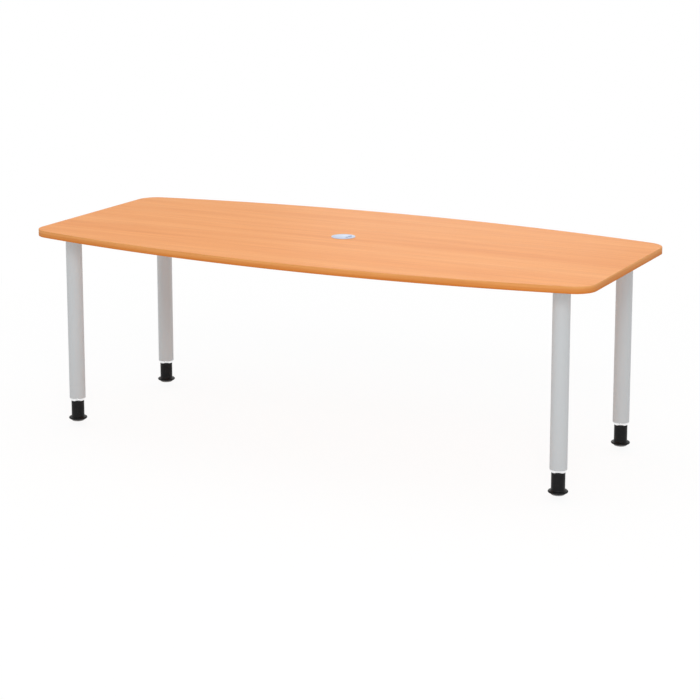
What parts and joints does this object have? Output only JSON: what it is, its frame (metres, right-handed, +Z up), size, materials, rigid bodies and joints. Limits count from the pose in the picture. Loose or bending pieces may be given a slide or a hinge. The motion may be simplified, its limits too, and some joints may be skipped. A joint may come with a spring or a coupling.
{
  "type": "conference table",
  "caption": "Boat-shaped conference table: beech-decor top with bowed long sides and a cable outlet, on round tube legs with screw feet that set its height.",
  "frame": {"origin": "on the floor, under the middle of the top", "axes": "+X along the table, -Y towards its front, +Z up"},
  "size_m": [2.2, 1.03, 0.742],
  "materials": {
    "beech_decor": "satin",
    "beech_band": "satin",
    "silver_coat": "satin",
    "bright_chrome": "polished",
    "black_plastic": "satin",
    "grey_plastic": "matte",
    "bare_steel": "satin",
    "silver_plastic": "satin"
  },
  "bodies": {
    "table": {"tabletop_board": "beech_decor", "edge_band": "beech_band", "cable_outlet_sleeve": "silver_plastic", "top_rail_front": "silver_coat", "top_rail_back": "silver_coat", "leg_plate_front_left": "silver_coat", "leg_plate_front_right": "silver_coat", "leg_plate_back_left": "silver_coat", "leg_plate_back_right": "silver_coat", "leg_tube_front_left": "silver_coat", "leg_tube_front_right": "silver_coat", "leg_tube_back_left": "silver_coat", "leg_tube_back_right": "silver_coat", "end_collar_front_left": "bright_chrome", "end_collar_front_right": "bright_chrome", "end_collar_back_left": "bright_chrome", "end_collar_back_right": "bright_chrome", "spindle_nut_front_left": "grey_plastic", "spindle_nut_front_right": "grey_plastic", "spindle_nut_back_left": "grey_plastic", "spindle_nut_back_right": "grey_plastic", "plate_screw_front_left_1": "bare_steel", "plate_screw_front_left_2": "bare_steel", "plate_screw_front_left_3": "bare_steel", "plate_screw_front_left_4": "bare_steel", "plate_screw_front_right_1": "bare_steel", "plate_screw_front_right_2": "bare_steel", "plate_screw_front_right_3": "bare_steel", "plate_screw_front_right_4": "bare_steel", "plate_screw_back_left_1": "bare_steel", "plate_screw_back_left_2": "bare_steel", "plate_screw_back_left_3": "bare_steel", "plate_screw_back_left_4": "bare_steel", "plate_screw_back_right_1": "bare_steel", "plate_screw_back_right_2": "bare_steel", "plate_screw_back_right_3": "bare_steel", "plate_screw_back_right_4": "bare_steel", "rail_screw_front_1": "bare_steel", "rail_screw_front_2": "bare_steel", "rail_screw_front_3": "bare_steel", "rail_screw_front_4": "bare_steel", "rail_screw_back_1": "bare_steel", "rail_screw_back_2": "bare_steel", "rail_screw_back_3": "bare_steel", "rail_screw_back_4": "bare_steel"},
    "front_left_glide": {"glide_front_left": "grey_plastic"},
    "front_right_glide": {"glide_front_right": "grey_plastic"},
    "back_left_glide": {"glide_back_left": "grey_plastic"},
    "back_right_glide": {"glide_back_right": "grey_plastic"},
    "front_left_foot": {"foot_front_left": "black_plastic", "height_spindle_front_left": "bare_steel"},
    "front_right_foot": {"foot_front_right": "black_plastic", "height_spindle_front_right": "bare_steel"},
    "back_left_foot": {"foot_back_left": "black_plastic", "height_spindle_back_left": "bare_steel"},
    "back_right_foot": {"foot_back_right": "black_plastic", "height_spindle_back_right": "bare_steel"},
    "outlet_lid": {"cable_outlet_lid": "silver_plastic"},
    "outlet_shutter": {"cable_outlet_shutter": "silver_plastic"}
  },
  "joints": [
    {"name": "foot_height_front_left", "type": "slide", "parent": "table", "child": "front_left_glide", "axis": [0, 0, -1], "range_m": [-0.06, 0.02]},
    {"name": "foot_height_front_right", "type": "slide", "parent": "table", "child": "front_right_glide", "axis": [0, 0, -1], "range_m": [-0.06, 0.02]},
    {"name": "foot_height_back_left", "type": "slide", "parent": "table", "child": "back_left_glide", "axis": [0, 0, -1], "range_m": [-0.06, 0.02]},
    {"name": "foot_height_back_right", "type": "slide", "parent": "table", "child": "back_right_glide", "axis": [0, 0, -1], "range_m": [-0.06, 0.02]},
    {"name": "foot_turn_front_left", "type": "hinge", "parent": "front_left_glide", "child": "front_left_foot", "pos_m": [-0.972, -0.3135, 0], "axis": [0, 0, -1], "range_deg": [-5400, 1800]},
    {"name": "foot_turn_front_right", "type": "hinge", "parent": "front_right_glide", "child": "front_right_foot", "pos_m": [0.972, -0.3135, 0], "axis": [0, 0, -1], "range_deg": [-5400, 1800]},
    {"name": "foot_turn_back_left", "type": "hinge", "parent": "back_left_glide", "child": "back_left_foot", "pos_m": [-0.972, 0.3135, 0], "axis": [0, 0, -1], "range_deg": [-5400, 1800]},
    {"name": "foot_turn_back_right", "type": "hinge", "parent": "back_right_glide", "child": "back_right_foot", "pos_m": [0.972, 0.3135, 0], "axis": [0, 0, -1], "range_deg": [-5400, 1800]},
    {"name": "lid_lift", "type": "slide", "parent": "table", "child": "outlet_lid", "axis": [0, 0, 1], "range_m": [0, 0.03]},
    {"name": "shutter_turn", "type": "hinge", "parent": "outlet_lid", "child": "outlet_shutter", "pos_m": [0, 0, 0.74], "axis": [0, 0, 1], "range_deg": [0, 80]}
  ],
  "couplings": [
    {"joint": "foot_height_front_left", "follows": "foot_turn_front_left", "m_per_rad": 0.00063662},
    {"joint": "foot_height_front_right", "follows": "foot_turn_front_right", "m_per_rad": 0.00063662},
    {"joint": "foot_height_back_left", "follows": "foot_turn_back_left", "m_per_rad": 0.00063662},
    {"joint": "foot_height_back_right", "follows": "foot_turn_back_right", "m_per_rad": 0.00063662}
  ]
}
